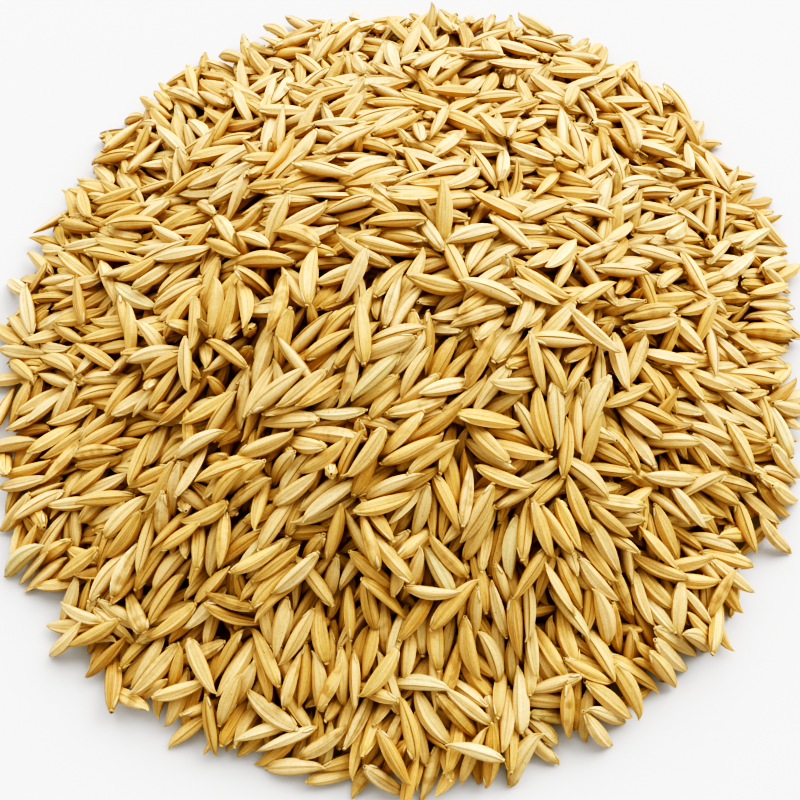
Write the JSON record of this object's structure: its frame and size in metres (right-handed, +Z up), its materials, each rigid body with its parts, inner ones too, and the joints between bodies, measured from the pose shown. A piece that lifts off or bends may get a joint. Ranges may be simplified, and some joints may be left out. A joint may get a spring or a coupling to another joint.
{
  "type": "heap of dried paddy rice",
  "caption": "Low heap of dried rice grains still in their husks, poured out loosely, rounded on top and flat below, with grain tips standing out round its foot.",
  "frame": {"origin": "on the surface the heap rests on, under the middle of its bounding box", "axes": "+Z up; the heap is as seen from -Y in the picture, with +X to the right"},
  "size_m": [0.132, 0.1358, 0.0277],
  "materials": {
    "husk": "dry straw-gold rice husk, satin, finely ribbed along each grain"
  },
  "bodies": {
    "root": {"rice_heap": "husk"}
  },
  "joints": []
}
